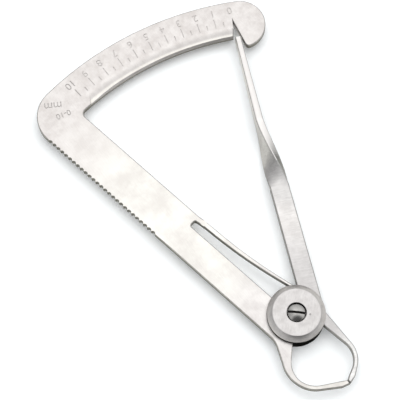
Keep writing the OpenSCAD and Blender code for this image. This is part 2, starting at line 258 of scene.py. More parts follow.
bpy.ops.object.select_all(action="DESELECT")
bpy.ops.mesh.primitive_plane_add(size=studio["floorSize"], location=(0, 0, studio["floorZ"]))
floor = bpy.context.object
floor.name = "floor"
floorPaint, nodes, links = newMaterial("floorPaint")
shader = nodes["Principled BSDF"]
shader.inputs["Roughness"].default_value = studio["floorRough"]
shader.inputs["Specular IOR Level"].default_value = studio["floorShine"]
shader.inputs["Emission Color"].default_value = studio["floorTone"]
shader.inputs["Emission Strength"].default_value = studio["floorGlow"]
rays = nodes.new("ShaderNodeLightPath")
floorMix = nodes.new("ShaderNodeMix")
floorMix.data_type = "RGBA"
floorMix.inputs["A"].default_value = studio["floorTone"]
floorMix.inputs["B"].default_value = studio["floorMirrored"]
links.new(rays.outputs["Is Glossy Ray"], floorMix.inputs["Factor"])
links.new(floorMix.outputs["Result"], shader.inputs["Base Color"])
floor.data.materials.append(floorPaint)

world = bpy.data.worlds.new("studio")
bpy.context.scene.world = world
world.use_nodes = True
nodes, links = world.node_tree.nodes, world.node_tree.links
skyPlace = nodes.new("ShaderNodeTexCoord")


def skyPatch(patch, low, high):  # a value that changes toward one direction of the sky
    toward = nodes.new("ShaderNodeVectorMath")
    toward.operation = "DOT_PRODUCT"
    toward.inputs[1].default_value = studio[patch + "Axis"]
    change = nodes.new("ShaderNodeMapRange")
    change.interpolation_type = "SMOOTHSTEP"
    change.inputs["From Min"].default_value = studio[patch + "From"]
    change.inputs["From Max"].default_value = studio[patch + "To"]
    change.inputs["To Min"].default_value = low
    change.inputs["To Max"].default_value = high
    links.new(skyPlace.outputs["Generated"], toward.inputs[0])
    links.new(toward.outputs["Value"], change.inputs["Value"])
    return change.outputs["Result"]


skyLevel = skyPatch("sky", studio["skyLow"], studio["skyHigh"])
for patch in ("shade", "side"):
    skyShade = nodes.new("ShaderNodeMath")
    skyShade.operation = "MULTIPLY"
    links.new(skyLevel, skyShade.inputs[0])
    links.new(skyPatch(patch, 1, studio[patch + "Depth"]), skyShade.inputs[1])
    skyLevel = skyShade.outputs["Value"]
links.new(skyLevel, nodes["Background"].inputs["Strength"])
nodes["Background"].inputs["Color"].default_value = studio["skyTint"]


def addLight(name, lamp):
    place = Vector(studio[lamp + "Place"])
    bpy.ops.object.light_add(type="AREA", location=place)
    light = bpy.context.object
    light.name = light.data.name = name
    light.data.size = studio[lamp + "Size"]
    light.data.energy = studio[lamp + "Power"]
    light.data.color = studio[lamp + "Tint"]
    light.rotation_euler = (Vector(studio["aim"]) - place).to_track_quat("-Z", "Y").to_euler()
    return light


key = addLight("keyLight", "key")
key.visible_glossy = False
addLight("softBox", "box")
print("floor and light ready")


# finishes with painted light and shade: shared effects first, each as a node group

effect = {
    "cloudDetail": 4.0,
    "cloudRough": 0.62,
    "cloudRange": (0.37, 0.63),  # part of the noise that the change between the tones takes up
    "grindDetail": 3.0,
    "grindRough": 0.7,
    "edgeSize": 900.0,
    "edgeDetail": 3.0,
    "edgeRange": (0.25, 0.6),
    "edgeLeast": 0.45,
    "streakRange": (0.3, 0.7),
    "glossRange": (0.25, 0.75),
    "reliefHeight": 0.01 * mm,
}


def newGroup(name, inputs, outputs):
    tree = bpy.data.node_groups.new(name, "ShaderNodeTree")
    for label, kind, value in inputs:
        socket = tree.interface.new_socket(label, in_out="INPUT", socket_type="NodeSocket" + kind)
        socket.default_value = value
    for label, kind in outputs:
        tree.interface.new_socket(label, in_out="OUTPUT", socket_type="NodeSocket" + kind)
    return tree, tree.nodes.new("NodeGroupInput"), tree.nodes.new("NodeGroupOutput")


def fillInputs(tree, node, inputs):  # an input is linked, or set to a value
    for name, value in inputs.items():
        if isinstance(value, bpy.types.NodeSocket):
            tree.links.new(value, node.inputs[name])
        else:
            node.inputs[name].default_value = value
    return node


def addNode(tree, kind, settings, inputs):
    node = tree.nodes.new("ShaderNode" + kind)
    for name, value in settings.items():
        setattr(node, name, value)
    return fillInputs(tree, node, inputs)


def useGroup(tree, group, inputs):
    node = tree.nodes.new("ShaderNodeGroup")
    node.node_tree = group
    return fillInputs(tree, node, inputs)


def objectPlace(tree):
    return addNode(tree, "TexCoord", {}, {}).outputs["Object"]


def readMark(tree, name):
    return addNode(tree, "Attribute", {"attribute_name": name}, {}).outputs["Fac"]


def noiseAt(tree, place, size, detail, rough):
    inputs = {"Vector": place, "Scale": size, "Detail": detail, "Roughness": rough}
    return addNode(tree, "TexNoise", {}, inputs).outputs["Fac"]


def mapValue(tree, value, span, low=0.0, high=1.0, curve="LINEAR"):
    inputs = {"Value": value, "From Min": span[0], "From Max": span[1], "To Min": low, "To Max": high}
    return addNode(tree, "MapRange", {"interpolation_type": curve}, inputs).outputs["Result"]


def multiply(tree, first, second):
    return addNode(tree, "Math", {"operation": "MULTIPLY"}, {0: first, 1: second}).outputs["Value"]


def mixTones(tree, share, first, second, blend="MIX"):
    inputs = {"Factor": share, "A": first, "B": second}
    return addNode(tree, "Mix", {"data_type": "RGBA", "blend_type": blend}, inputs).outputs["Result"]


# clouds: slow change between two tones, as on hand-finished sheet
clouds, groupIn, groupOut = newGroup(
    "clouds",
    [("Low", "Color", (0.7, 0.7, 0.7, 1)), ("High", "Color", (0.8, 0.8, 0.8, 1)), ("Size", "Float", 120.0)],
    [("Color", "Color"), ("Mask", "Float")],
)
noise = noiseAt(
    clouds, objectPlace(clouds), groupIn.outputs["Size"], effect["cloudDetail"], effect["cloudRough"]
)
spread = mapValue(clouds, noise, effect["cloudRange"])
tone = mixTones(clouds, spread, groupIn.outputs["Low"], groupIn.outputs["High"])
clouds.links.new(tone, groupOut.inputs["Color"])
clouds.links.new(spread, groupOut.inputs["Mask"])

# grinding: fine scratches along one direction
grinding, groupIn, groupOut = newGroup(
    "grinding",
    [("Turn", "Float", 0.0), ("Across", "Float", 5000.0), ("Along", "Float", 300.0)],
    [("Lines", "Float")],
)
turn = addNode(grinding, "CombineXYZ", {}, {"Z": groupIn.outputs["Turn"]})
stretch = addNode(grinding, "CombineXYZ", {}, {
    "X": groupIn.outputs["Along"], "Y": groupIn.outputs["Across"], "Z": groupIn.outputs["Across"],
})
lay = addNode(grinding, "Mapping", {}, {
    "Vector": objectPlace(grinding), "Rotation": turn.outputs["Vector"],
})
scaled = addNode(grinding, "VectorMath", {"operation": "MULTIPLY"}, {
    0: lay.outputs["Vector"], 1: stretch.outputs["Vector"],
})
noise = noiseAt(grinding, scaled.outputs["Vector"], 1.0, effect["grindDetail"], effect["grindRough"])
grinding.links.new(noise, groupOut.inputs["Lines"])

# edges: painted shade on walls (on the sheet's sheared walls partly also their own darker finish), painted
# edge lines on broken edges with a little unevenness, and a painted highlight, all marked on the faces
edges, groupIn, groupOut = newGroup(
    "edges",
    [
        ("Face", "Color", (0.8, 0.8, 0.8, 1)), ("Wall", "Color", (0.4, 0.4, 0.38, 1)),
        ("Edge", "Color", (0.9, 0.9, 0.88, 1)), ("Shine", "Color", (0.95, 0.95, 0.9, 1)),
    ],
    [("Color", "Color"), ("Wall Mask", "Float"), ("Edge Mask", "Float")],
)
wallMask = readMark(edges, "wallMark")
noise = addNode(edges, "TexNoise", {}, {
    "Vector": objectPlace(edges), "Scale": effect["edgeSize"], "Detail": effect["edgeDetail"],
})
uneven = mapValue(edges, noise.outputs["Fac"], effect["edgeRange"], effect["edgeLeast"])
edgeMask = multiply(edges, readMark(edges, "edgeMark"), uneven)
tone = mixTones(edges, wallMask, groupIn.outputs["Face"], groupIn.outputs["Wall"])
tone = mixTones(edges, edgeMask, tone, groupIn.outputs["Edge"])
tone = mixTones(edges, readMark(edges, "shineMark"), tone, groupIn.outputs["Shine"])
edges.links.new(tone, groupOut.inputs["Color"])
edges.links.new(wallMask, groupOut.inputs["Wall Mask"])
edges.links.new(edgeMask, groupOut.inputs["Edge Mask"])


def opaque(tone):
    return (*tone, 1)


def cloudTone(tree, look):
    tones = {"Low": opaque(look["low"]), "High": opaque(look["high"]), "Size": look["cloudSize"]}
    return useGroup(tree, clouds, tones).outputs["Color"]


def zoneShare(tree, zone, place):  # grows with the distance from the pivot, or along an axis
    if "axis" in zone:
        inputs = {0: place, 1: zone["axis"]}
        reach = addNode(tree, "VectorMath", {"operation": "DOT_PRODUCT"}, inputs)
    else:
        reach = addNode(tree, "VectorMath", {"operation": "LENGTH"}, {0: place})
    span = (zone["start"], zone["end"])
    share = mapValue(tree, reach.outputs["Value"], span, curve="SMOOTHSTEP")
    if "mark" in zone:  # only on the faces that carry this mark
        share = multiply(tree, share, readMark(tree, zone["mark"]))
    return share


def steel(name, look):  # cloudy tones, scratches in gloss and relief, painted light in zone tones, painted shade on walls and edges, painted highlights
    material, nodes, links = newMaterial(name)
    tree, shader = material.node_tree, nodes["Principled BSDF"]
    shader.inputs["Metallic"].default_value = 1
    shader.inputs["Specular Tint"].default_value = opaque(look.get("grazing", (1, 1, 1)))
    face = cloudTone(tree, look)
    place = objectPlace(tree)
    # zone tones paint the light that parts of the piece catch
    for zone in look.get("zones", []):
        face = mixTones(tree, zoneShare(tree, zone, place), face, cloudTone(tree, zone))
    scratch = useGroup(tree, grinding, {
        "Turn": math.radians(look["grain"]), "Across": look["across"], "Along": look["along"],
    })
    lines = scratch.outputs["Lines"]
    shade = mapValue(tree, lines, effect["streakRange"], 1 - look["streak"])
    toned = useGroup(tree, edges, {
        "Face": mixTones(tree, 1.0, face, shade, "MULTIPLY"),
        "Wall": opaque(look["wall"]),
        "Edge": opaque(look["edge"]),
        "Shine": opaque(look.get("shine", look["edge"])),
    })
    links.new(toned.outputs["Color"], shader.inputs["Base Color"])
    gloss = mapValue(tree, lines, effect["glossRange"], look["smooth"], look["rough"])
    dull = addNode(tree, "Mix", {"data_type": "FLOAT"}, {
        "Factor": toned.outputs["Wall Mask"], "A": gloss, "B": look["wallRough"],
    })
    links.new(dull.outputs["Result"], shader.inputs["Roughness"])
    relief = addNode(tree, "Bump", {}, {
        "Height": lines, "Strength": look["relief"], "Distance": effect["reliefHeight"],
    })
    links.new(relief.outputs["Normal"], shader.inputs["Normal"])
    return material


plateSteel = steel("plateSteel", {
    "low": (0.74, 0.705, 0.685), "high": (0.90, 0.87, 0.845), "cloudSize": 240.0,
    # zone tones are painted light: brighter where the arm catches a reflection, darker toward and over the
    # sector, painted shade and a painted highlight on the margin
    "zones": [
        {  # arm, painted highlight of a reflection
            "start": 9 * mm, "end": 20 * mm,
            "low": (0.80, 0.77, 0.73), "high": (0.96, 0.945, 0.895), "cloudSize": 190.0,
        },
        {  # fixed jaw, painted a little darker than the arm's painted highlight
            "axis": (0, -1, 0), "start": 8 * mm, "end": 12 * mm,
            "low": (0.76, 0.73, 0.685), "high": (0.91, 0.88, 0.83), "cloudSize": 240.0,
        },
        {  # toward the sector, painted shade: less reflected light
            "start": 46 * mm, "end": 62 * mm,
            "low": (0.775, 0.74, 0.71), "high": (0.89, 0.86, 0.83), "cloudSize": 240.0,
        },
        {  # sector, painted shade: less reflected light
            "start": 62 * mm, "end": 68 * mm,
            "low": (0.705, 0.665, 0.64), "high": (0.835, 0.80, 0.775), "cloudSize": 420.0,
        },
        {  # ground margin, painted shade
            "mark": "bandMark", "start": 68.5 * mm, "end": 67.4 * mm,
            "low": (0.60, 0.57, 0.55), "high": (0.70, 0.67, 0.65), "cloudSize": 420.0,
        },
        {  # inner lip of the margin, painted highlight
            "mark": "bandMark", "start": 67.3 * mm, "end": 66.75 * mm,
            "low": (0.86, 0.83, 0.775), "high": (0.95, 0.93, 0.87), "cloudSize": 420.0,
        },
    ],
    "grain": 100, "across": 5200.0, "along": 500.0, "streak": 0.1,
    "smooth": 0.30, "rough": 0.42, "relief": 0.12,
    # walls: partly their own darker sheared finish, partly painted shade; edges: painted darker lines;
    # shine: a painted highlight
    "wall": (0.23, 0.225, 0.195), "wallRough": 0.5,
    "edge": (0.43, 0.42, 0.40), "shine": (0.96, 0.94, 0.87),
})
engraved = steel("engraved", {
    "low": (0.64, 0.61, 0.59), "high": (0.78, 0.75, 0.73), "cloudSize": 700.0,
    "zones": [
        {  # fainter on the zero's side of the ten
            "axis": (1, 0, 0), "start": 6.5 * mm, "end": 9 * mm,
            "low": (0.76, 0.73, 0.70), "high": (0.87, 0.84, 0.815), "cloudSize": 900.0,
        },
    ],
    "grain": 30, "across": 9000.0, "along": 3000.0, "streak": 0.1,
    "smooth": 0.5, "rough": 0.65, "relief": 0.2,
    "wall": (0.68, 0.65, 0.63), "wallRough": 0.6, "edge": (0.5, 0.49, 0.47),
})
leverSteel = steel("leverSteel", {
    "low": (0.62, 0.60, 0.59), "high": (0.71, 0.69, 0.68), "cloudSize": 420.0,
    # zone tones are painted light: painted highlights on the flat length, the pointer and the moving jaw,
    # painted shade before and over the twist
    "zones": [
        {  # flat length, painted highlight
            "start": 12 * mm, "end": 22 * mm,
            "low": (0.75, 0.725, 0.705), "high": (0.88, 0.855, 0.835), "cloudSize": 420.0,
        },
        {  # before the twist, painted shade
            "start": 23 * mm, "end": 28 * mm,
            "low": (0.64, 0.625, 0.615), "high": (0.735, 0.72, 0.705), "cloudSize": 420.0,
        },
        {  # twist, painted shade
            "start": 33 * mm, "end": 36 * mm,
            "low": (0.60, 0.59, 0.57), "high": (0.68, 0.67, 0.65), "cloudSize": 400.0,
        },
        {  # pointer, painted highlight
            "start": 40 * mm, "end": 50 * mm,
            "low": (0.88, 0.865, 0.845), "high": (0.97, 0.955, 0.935), "cloudSize": 400.0,
        },
        {  # moving jaw, painted highlight
            "axis": (-0.553, -0.833, 0), "start": 5 * mm, "end": 10 * mm,
            "low": (0.82, 0.805, 0.785), "high": (0.98, 0.965, 0.94), "cloudSize": 500.0,
        },
    ],
    "grain": 35, "across": 2200.0, "along": 320.0, "streak": 0.2,
    "smooth": 0.26, "rough": 0.40, "relief": 0.2,
    # wall: painted shade on the narrow side; edge: painted darker lines; shine: painted highlight on the
    # pointer's top
    "wall": (0.30, 0.295, 0.28), "wallRough": 0.45,
    "edge": (0.46, 0.455, 0.44), "shine": (0.83, 0.805, 0.78),
})
discSteel = steel("discSteel", {
    "low": (0.66, 0.635, 0.62), "high": (0.78, 0.755, 0.74), "cloudSize": 600.0,
    "grain": -30, "across": 4200.0, "along": 600.0, "streak": 0.15,
    "smooth": 0.30, "rough": 0.42, "relief": 0.15,
    # wall: near-black painted shadow on the discs' walls and on the back disc, and the dark grazing tint
    # keeps reflections from lighting it; edge: painted lighter lines
    "wall": (0.035, 0.034, 0.032), "wallRough": 0.45,
    "edge": (0.78, 0.76, 0.74), "grazing": (0.1, 0.1, 0.1),
})
bushSteel = steel("bushSteel", {
    "low": (0.52, 0.51, 0.5), "high": (0.62, 0.61, 0.6), "cloudSize": 500.0,
    "grain": 0, "across": 6000.0, "along": 900.0, "streak": 0.08,
    "smooth": 0.34, "rough": 0.45, "relief": 0.1,
    "wall": (0.5, 0.49, 0.48), "wallRough": 0.4, "edge": (0.7, 0.69, 0.68),
})
screwSteel = steel("screwSteel", {
    "low": (0.36, 0.35, 0.335), "high": (0.46, 0.45, 0.43), "cloudSize": 700.0,
    "grain": -51, "across": 7000.0, "along": 900.0, "streak": 0.12,
    "smooth": 0.16, "rough": 0.28, "relief": 0.2,
    # wall: painted shade in the slot and on the head's side; shine: a painted highlight on the slot's lips
    "wall": (0.02, 0.019, 0.018), "wallRough": 0.4,
    "edge": (0.5, 0.49, 0.47), "shine": (0.92, 0.9, 0.86),
})

frame["nodes"]["pivot_bush"].data.materials.clear()
frame["nodes"]["pivot_bush"].data.materials.append(bushSteel)
print("finishes ready")


# frame plate: the CAD sheet with its edges broken and the scale's numbers cut in

plate = {
    "edgeBreak": 0.2 * mm,
    "edgeSteps": 2,
    "marginR": 66.0 * mm,
    "marginNear": 0.1 * mm,
    "marginMost": 0.997,  # upward part of the margin's normal at most, and of the flat above it at least
    "levelLeast": 0.999,
    "bandMost": 0.9993,
    "marginEase": 0.4 * mm,
    "marginSteps": 4,
    "marginChamfer": 0.45 * mm,
    "chamferSpread": 1.1,
    "marginZ": 3.35 * mm,
    "marginUnder": 0.2 * mm,
    "marginEnd": (5.27 * mm, 65.789 * mm),  # near the ten
    "marginRun": 6.8 * mm,  # the chamfer narrows over this length toward that end
    "marginLeast": 0.33,
    "marginStray": 0.65 * mm,
    "nick": (1.0 * mm, 30.2 * mm),  # hair-thin corner where the slot meets the leaf
    "nickEnd": (1.0 * mm, 29.7 * mm),
    "nickNear": 0.01 * mm,
    "seamCut": 0.75 * mm,  # edges are left sharp from here to the leaf
    "seamReach": 1.0 * mm,
    "notch": (49.6, 53.7),  # directions and radii between which sideways walls are as bright as the faces
    "notchR": (61 * mm, 70.8 * mm),
    "sideways": 0.75,
    "wallMin": 0.7 * mm,  # a wall lower than this belongs to a scale mark
    "numbers": range(0, 11),
    "numberR": 72.75 * mm,
    "numberSize": 2.4 * mm,
    "numberDepth": 0.1 * mm,
    "zeroDir": 53.395,
    "jawReach": 18.0,
    "unitPlace": (-0.74 * mm, 71.82 * mm),
    "unitSize": 2.7 * mm,
    "unitDir": 140,
    "spanPlace": (-0.63 * mm, 68.68 * mm),
    "spanSize": 1.9 * mm,
    "spanDir": 156,
    "markR": 68.9 * mm,
    "markBand": (0.9, 1.5),  # depth of the marks, in depths of the numbers
    "serrationX": -6.6 * mm,
    "serrationFrom": 34 * mm,
    "serrationTo": 67.2 * mm,
    "serrationBreak": 0.06 * mm,
    "smoothTo": 28,
    "flatFrom": 0.9995,
}
leafHinge = Vector(next(j["pos_m"] for j in frame["joints"] if j["name"] == "leaf_flex"))


def wallHeight(face):
    heights = [v.co.z for v in face.verts]
    return max(heights) - min(heights)


def nearSeam(edge):
    return all((v.co.xy - leafHinge.xy).length < plate["seamReach"] for v in edge.verts)


def flatAndWall(edge):
    return sorted(edge.link_faces, key=lambda face: -abs(face.normal.z))


def sheetEdge(edge):  # between a flat of the sheet and its sheared wall
    flat, wall = flatAndWall(edge)
    upright = abs(wall.normal.z) < limits["upright"]
    return abs(flat.normal.z) > limits["flat"] and upright and wallHeight(wall) > plate["wallMin"]


def onMargin(corner):
    return abs(corner.co.xy.length - plate["marginR"]) < plate["marginNear"]


def marginEdge(edge):  # the inner edge of the ground margin
    flat, wall = flatAndWall(edge)
    upright = abs(wall.normal.z) < limits["upright"]
    inner = all(onMargin(v) for v in edge.verts)
    return inner and upright and limits["flat"] < flat.normal.z < plate["marginMost"]


def marginLine(edge):  # the upper line of the ground margin
    low, high = sorted(face.normal.z for face in edge.link_faces)
    return limits["flat"] < low < plate["marginMost"] and high > plate["levelLeast"]


def lowest(face):
    return min(framePlate.data.vertices[v].co.z for v in face.vertices)


# the plate's dark walls: partly their own darker sheared finish, partly painted shade; sideways walls in
# the zero notch get none
def sheared(face):
    turn = math.degrees(math.atan2(face.center.y, face.center.x))
    inTurn = plate["notch"][0] < turn < plate["notch"][1]
    inNotch = inTurn and plate["notchR"][0] < face.center.xy.length < plate["notchR"][1]
    outward = face.center.xy.normalized()
    sideways = abs(face.normal.xy.cross(outward)) > plate["sideways"]
    return steep(face) and lowest(face) < plateTop - plate["wallMin"] and not (inNotch and sideways)


def engravedMark(face):  # the scale's marks are cut like its numbers
    least, most = (share * plate["numberDepth"] for share in plate["markBand"])
    inBand = face.center.z > plateTop - most and lowest(face) < plateTop - least
    return inBand and face.center.xy.length > plate["markR"]


def serrated(edge):
    first, last = plate["serrationFrom"], plate["serrationTo"]
    return all(v.co.x < plate["serrationX"] and first < v.co.y < last for v in edge.verts)


framePlate = copyNode("frame_plate", "framePlate")
framePlate.data.materials.append(plateSteel)
framePlate.data.materials.append(engraved)
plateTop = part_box("frame_plate")[1].z
mesh = editMesh(framePlate)
for corner in mesh.verts:  # the nick is closed
    if (corner.co.xy - Vector(plate["nick"])).length < plate["nickNear"]:
        corner.co.xy = plate["nickEnd"]
bmesh.update_edit_mesh(framePlate.data)
mergeNear(limits["same"])
endEdit()
numberCutters = []


def engraveText(body, size, spot, turn):  # letters as a cutter that sinks into the plate's top
    bpy.ops.object.text_add(location=(*spot, plateTop), rotation=(0, 0, turn))
    text = bpy.context.object
    text.data.body = body
    text.data.size = size
    text.data.extrude = plate["numberDepth"]
    text.data.align_x = "CENTER"
    text.data.align_y = "CENTER"
    pick(text)
    bpy.ops.object.convert(target="MESH")
    bpy.ops.object.transform_apply(location=True, rotation=True, scale=True)
    numberCutters.append(bpy.context.object)


for number in plate["numbers"]:
    turn = math.radians(plate["zeroDir"]) + 2 * math.asin(number / (2 * plate["jawReach"]))
    spot = (plate["numberR"] * math.cos(turn), plate["numberR"] * math.sin(turn))
    engraveText(str(number), plate["numberSize"], spot, turn + math.pi / 2)
engraveText("mm", plate["unitSize"], plate["unitPlace"], math.radians(plate["unitDir"]))
engraveText("0-10", plate["spanSize"], plate["spanPlace"], math.radians(plate["spanDir"]))
bpy.ops.object.select_all(action="DESELECT")
for cutter in numberCutters:
    cutter.select_set(True)
bpy.context.view_layer.objects.active = numberCutters[0]
bpy.ops.object.join()
numberCutter = bpy.context.object
editMesh(numberCutter)
mergeNear(limits["sliver"])
endEdit()
numberCutter.data.materials.clear()
numberCutter.data.materials.append(engraved)
cutAway(framePlate, numberCutter)
editMesh(framePlate)
bpy.ops.mesh.select_all(action="SELECT")
bpy.ops.mesh.bisect(plane_co=(0, leafHinge.y + plate["seamCut"], 0), plane_no=(0, 1, 0))
endEdit()
breakEdges(framePlate, marginLine, plate["marginEase"], plate["marginSteps"], None)
breakEdges(framePlate, marginEdge, plate["marginChamfer"], 1, None)
marginEnd = Vector((*plate["marginEnd"], plateTop))
chamferReach = plate["chamferSpread"] * plate["marginChamfer"]
mesh = editMesh(framePlate)
for corner in mesh.verts:  # corners at the margin's end are gathered, and the chamfer narrows toward it
    foot = Vector((*(corner.co.xy.normalized() * plate["marginR"]), plate["marginZ"]))
    reach = (corner.co - marginEnd).xy.length
    high = corner.co.z > plateTop - plate["marginStray"] / 2
    under = corner.co.z < plateTop - plate["marginUnder"]
    if onMargin(corner) and high and reach < plate["marginStray"]:
        corner.co = marginEnd
    elif under and reach < plate["marginRun"] and (corner.co - foot).length < chamferReach:
        width = plate["marginLeast"] + (1 - plate["marginLeast"]) * reach / plate["marginRun"]
        corner.co = foot.lerp(corner.co, width)
bmesh.update_edit_mesh(framePlate.data)
mergeNear(limits["same"])
endEdit()
breakEdges(
    framePlate, lambda e: sheetEdge(e) and serrated(e),
    plate["serrationBreak"], plate["edgeSteps"],
)
breakEdges(
    framePlate, lambda e: sheetEdge(e) and not nearSeam(e) and not serrated(e),
    plate["edgeBreak"], plate["edgeSteps"],
)
dropSlivers(framePlate)
for face in framePlate.data.polygons:
    if engravedMark(face):
        face.material_index = 1
# the margin's band, which carries the painted shade and painted highlight of the margin zones
markFaces(framePlate, "bandMark", lambda f: limits["flat"] < f.normal.z < plate["bandMost"])
shadeByAngle(framePlate, plate["smoothTo"])
flatFaces(framePlate, plate["flatFrom"])
stand(framePlate, "frame_plate", "frame", sheared)
print("frame plate:", len(framePlate.data.polygons), "faces")


# spring leaf: the CAD leaf, grown back to meet the frame, cut into short lengths that are shorter near the
# root, and bowed toward the frame's arm

leaf = {
    "tipW": 0.6 * mm,
    "rootGap": 0.1 * mm,
    "rootNear": 0.02 * mm,
    "bow": 0.58 * mm,  # sag toward the frame's arm between its two ends
    "edgeBreak": 0.16 * mm,
    "bendLen": 3.0 * mm,
    "lengths": 16,
    "lengthGrowth": 1.5,  # the lengths are shorter near the root
    "smoothTo": 28,
    "flatFrom": 0.98,
}
leafLow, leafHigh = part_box("spring_leaf")
leafTip = Vector((leafHigh.x - leaf["tipW"] / 2, leafLow.y + leaf["tipW"] / 2, leafHinge.z))
leafRun = (leafTip - leafHinge).normalized()
leafSide = Vector((-leafRun.y, leafRun.x, 0))
rootR = leafHinge.x - leafLow.x + leaf["rootGap"]
springLeaf = copyNode("spring_leaf", "springLeaf")
mesh = editMesh(springLeaf)
for corner in mesh.verts:
    along = (corner.co - leafHinge).dot(leafRun)
    across = (corner.co - leafHinge).dot(leafSide)
    if along < leaf["rootNear"]:
        corner.co -= leafRun * (along + math.sqrt(rootR ** 2 - across ** 2))
bmesh.update_edit_mesh(springLeaf.data)
endEdit()
editMesh(springLeaf)
for i in range(1, leaf["lengths"]):
    share = (i / leaf["lengths"]) ** leaf["lengthGrowth"]
    bpy.ops.mesh.select_all(action="SELECT")
    bpy.ops.mesh.bisect(plane_co=leafHinge.lerp(leafTip, share), plane_no=leafRun)
endEdit()
mesh = editMesh(springLeaf)
for corner in mesh.verts:
    share = (corner.co - leafHinge).dot(leafRun) / (leafTip - leafHinge).length
    if 0 < share < 1:
        corner.co -= leafSide * leaf["bow"] * math.sin(math.pi * share)
bmesh.update_edit_mesh(springLeaf.data)
endEdit()
breakEdges(
    springLeaf, lambda e: sheetEdge(e) and not nearSeam(e), leaf["edgeBreak"], plate["edgeSteps"]
)
shadeByAngle(springLeaf, leaf["smoothTo"])
flatFaces(springLeaf, leaf["flatFrom"])
springLeaf.data.materials.append(plateSteel)
# the leaf's steep walls take the plate's dark wall tone: partly sheared finish, partly painted shade
markFaces(springLeaf, "wallMark", steep)
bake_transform(springLeaf)
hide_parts("spring_leaf")
print("spring leaf:", len(springLeaf.data.polygons), "faces")


# pointer lever: the CAD lever up to its twist, with the twist and the pointer drawn out of its end

lever = {
    "dir": 56.45,
    "offset": 4.1 * mm,
    "cutAt": 28.6 * mm,
    "cutNear": 0.001 * mm,
    "twistStart": 29.0 * mm,
    "twistLen": 16.0 * mm,
    "twistSteps": 32,
    "twistEase": 1.6,
    "twistStray": 0.44 * mm,  # drift toward the frame over the twist
    "rootThick": 1.7 * mm,
    "tipThick": 1.2 * mm,
    "rootHigh": 4.3 * mm,
    "tipHigh": 3.0 * mm,
    "pointerEnd": 65.58 * mm,
    "edgeRound": 0.24 * mm,
    "edgeSteps": 3,
    "sharp": 50,
    "hidden": 5.2 * mm,  # edges nearer to the pivot lie under the discs
    "darkEnd": 0.97,  # upward part of the normal where the narrow side is no longer painted dark
    "darkFade": 0.2,
    "darkSide": 0.05,
    "darkDown": 0.2,
    "topShare": 3,  # the pointer's top starts after one part in this many of its height and twist
    "smoothTo": 35,
    "flatFrom": 0.9999,
}
midZ = leafHinge.z


def onCut(part):
    return all(abs(v.co.x - lever["cutAt"]) < lever["cutNear"] for v in part.verts)


def leverEdge(edge):
    seen = max(v.co.xy.length for v in edge.verts) > lever["hidden"]
    return seen and not onCut(edge) and edge.calc_face_angle() > math.radians(lever["sharp"])


def turnPiece(piece, degrees):
    pick(piece)
    piece.rotation_euler.z = math.radians(degrees)
    bpy.ops.object.transform_apply(location=False, rotation=True, scale=False)


def drawOut(step, side=0):  # extrudes the selected end along the lever
    bpy.ops.mesh.extrude_region_move(TRANSFORM_OT_translate={"value": (step, side, 0)})


pointerLever = copyNode("pointer_lever", "pointerLever")
pointerLever.data.materials.append(leverSteel)
turnPiece(pointerLever, -lever["dir"])
editMesh(pointerLever)
bpy.ops.mesh.select_all(action="SELECT")
bpy.ops.mesh.bisect(
    plane_co=(lever["cutAt"], 0, 0), plane_no=(1, 0, 0), use_fill=True, clear_outer=True
)
endEdit()
breakEdges(pointerLever, leverEdge, lever["edgeRound"], lever["edgeSteps"])
mesh = editMesh(pointerLever)
bpy.ops.mesh.select_mode(type="FACE")
for face in mesh.faces:
    face.select_set(onCut(face))
bmesh.update_edit_mesh(pointerLever.data)
drawOut(lever["twistStart"] - lever["cutAt"])
turned = 0
for i in range(1, lever["twistSteps"] + 1):
    share = i / lever["twistSteps"]
    turn = math.radians(90) * (1 - (1 - share) ** lever["twistEase"])
    middle = (
        lever["twistStart"] + lever["twistLen"] * share,
        lever["twistStray"] * share - lever["offset"], midZ,
    )
    drawOut(lever["twistLen"] / lever["twistSteps"], lever["twistStray"] / lever["twistSteps"])
    bpy.ops.transform.rotate(
        value=turn - turned, orient_axis="X", orient_type="GLOBAL", center_override=middle
    )
    turned = turn
drawOut(lever["pointerEnd"] - lever["twistStart"] - lever["twistLen"], -lever["twistStray"])
bpy.ops.transform.resize(
    value=(1, lever["tipThick"] / lever["rootThick"], lever["tipHigh"] / lever["rootHigh"]),
    center_override=(lever["pointerEnd"], -lever["offset"], midZ),
)
endEdit()
turnPiece(pointerLever, lever["dir"])
shadeByAngle(pointerLever, lever["smoothTo"])
flatFaces(pointerLever, lever["flatFrom"])
leverTurn = math.radians(lever["dir"])
leverRun = Vector((math.cos(leverTurn), math.sin(leverTurn)))
leverSide = Vector((-leverRun.y, leverRun.x))


def between(value):
    return max(0, min(1, value))


def leverWall(face):  # painted shade: the narrow side is painted dark until the twist has turned it upward
    if face.center.xy.dot(leverRun) < lever["cutAt"]:
        return steep(face)
    narrow = face.normal.xy.dot(leverSide) < -lever["darkSide"] and face.normal.z > -lever["darkDown"]
    return between((lever["darkEnd"] - face.normal.z) / lever["darkFade"]) if narrow else 0


def pointerTop(face):  # and carries a painted highlight, the bright top of the pointer, from there on
    high = face.center.z > midZ + lever["tipHigh"] / lever["topShare"]
    topStart = lever["twistStart"] + lever["twistLen"] / lever["topShare"]
    upward = between((face.normal.z - lever["darkEnd"] + lever["darkFade"]) / lever["darkFade"])
    return upward if high and face.center.xy.dot(leverRun) > topStart else 0


markFaces(pointerLever, "shineMark", pointerTop)
stand(pointerLever, "pointer_lever", "lever", leverWall)
print("pointer lever:", len(pointerLever.data.polygons), "faces")


# round pieces: turned from cylinders at the sizes of their CAD nodes

